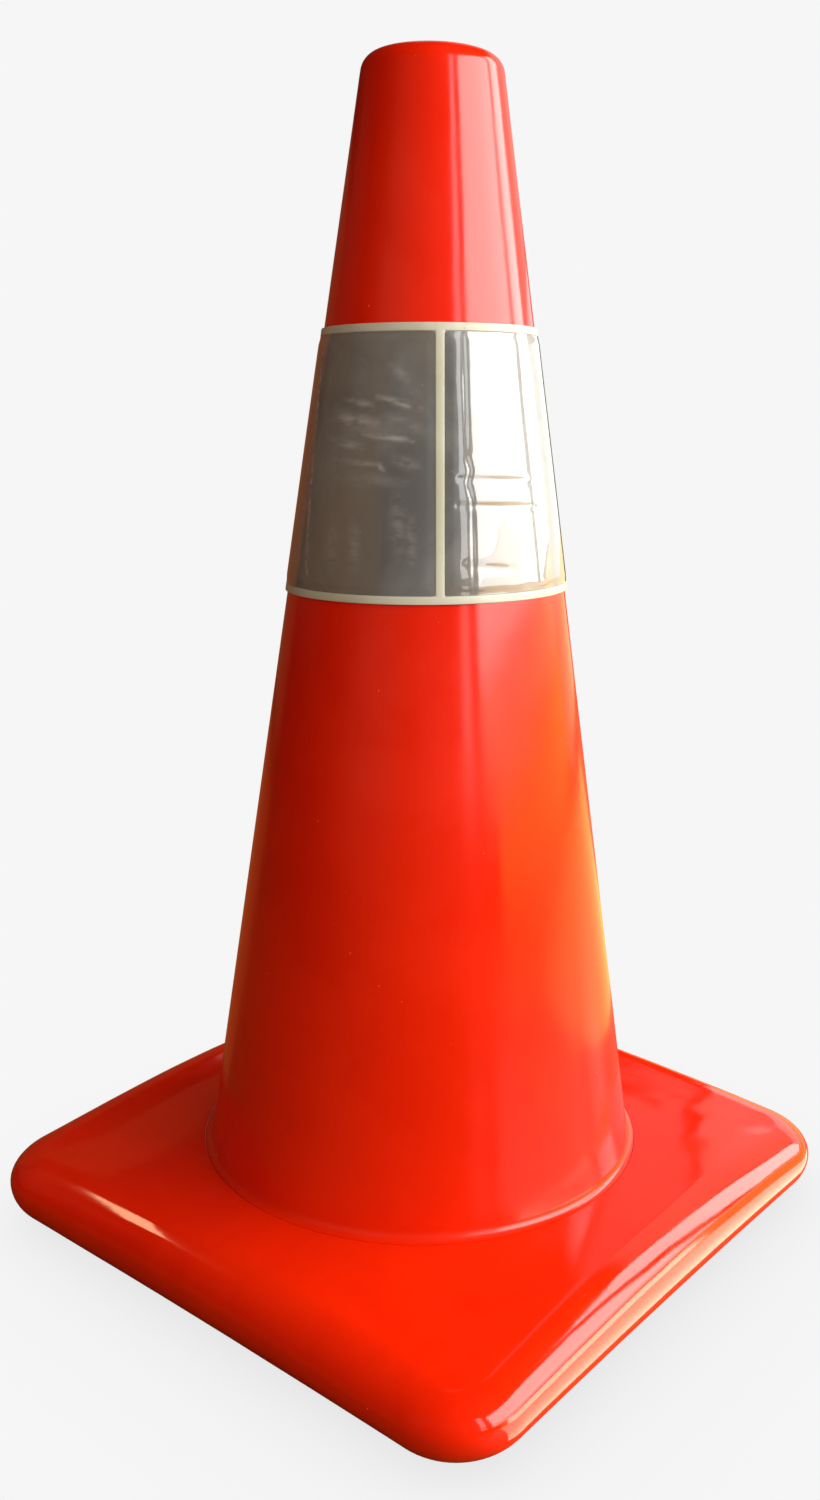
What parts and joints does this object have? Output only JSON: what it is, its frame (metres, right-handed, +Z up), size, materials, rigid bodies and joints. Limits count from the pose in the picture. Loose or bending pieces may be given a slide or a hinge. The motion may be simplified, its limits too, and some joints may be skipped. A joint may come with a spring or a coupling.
{
  "type": "traffic cone",
  "caption": "Hollow orange cone on a square weighted base, with a reflective sleeve that slips off over the top.",
  "frame": {"origin": "on the ground, under the cone's axis, at the middle of the base", "axes": "+Z up along the cone's axis; X and Y along the base's sides"},
  "size_m": [0.4, 0.4, 0.7],
  "materials": {
    "orange_vinyl": "glossy moulded vinyl with light scuffs",
    "ballast_vinyl": "coarse matt recycled vinyl",
    "backing_vinyl": "cream vinyl, satin",
    "prism_film": "clear glossy vinyl over silvery prisms"
  },
  "bodies": {
    "cone": {"cone_shell": "orange_vinyl", "base_cover": "orange_vinyl", "base_ballast": "ballast_vinyl"},
    "sleeve": {"sleeve_backing": "backing_vinyl", "sleeve_cell_right": "prism_film", "sleeve_cell_back": "prism_film", "sleeve_cell_left": "prism_film", "sleeve_closing_strip": "backing_vinyl"}
  },
  "joints": [
    {"name": "sleeve_lift", "type": "slide", "parent": "cone", "child": "sleeve", "axis": [0, 0, 1], "range_m": [0, 0.32]}
  ]
}
